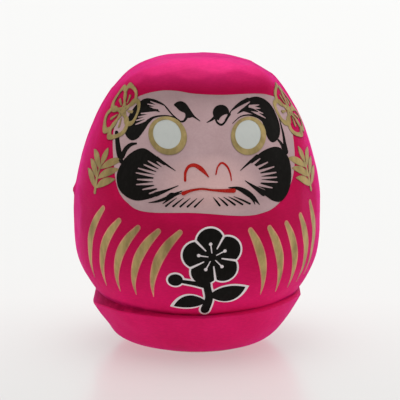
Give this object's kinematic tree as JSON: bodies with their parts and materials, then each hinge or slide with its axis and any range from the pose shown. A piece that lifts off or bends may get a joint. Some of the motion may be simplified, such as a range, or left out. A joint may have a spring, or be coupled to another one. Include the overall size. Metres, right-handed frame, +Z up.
{
  "type": "daruma doll",
  "caption": "Hollow papier-mache daruma tumbler doll: painted face in a hooded body, gold ribs, and a clay weight in a rounded foot bowl that rights it when tipped.",
  "frame": {"origin": "on the floor, under the middle of the doll's outline", "axes": "+Z up through the crown, the face looks along -Y, +X towards the right of someone facing it"},
  "size_m": [0.093, 0.0874, 0.11],
  "materials": {
    "pink_paper": "satin",
    "washi": "matte",
    "raw_clay": "matte",
    "base_paper": "matte",
    "face_paint": "matte",
    "black_paint": "satin",
    "gold_paint": "satin",
    "white_paint": "matte",
    "red_paint": "satin"
  },
  "bodies": {
    "root": {"front_shell": "pink_paper", "rear_shell": "pink_paper", "seam_strip": "washi", "foot_bowl": "pink_paper", "clay_weight": "raw_clay", "base_disc": "base_paper"}
  },
  "joints": []
}
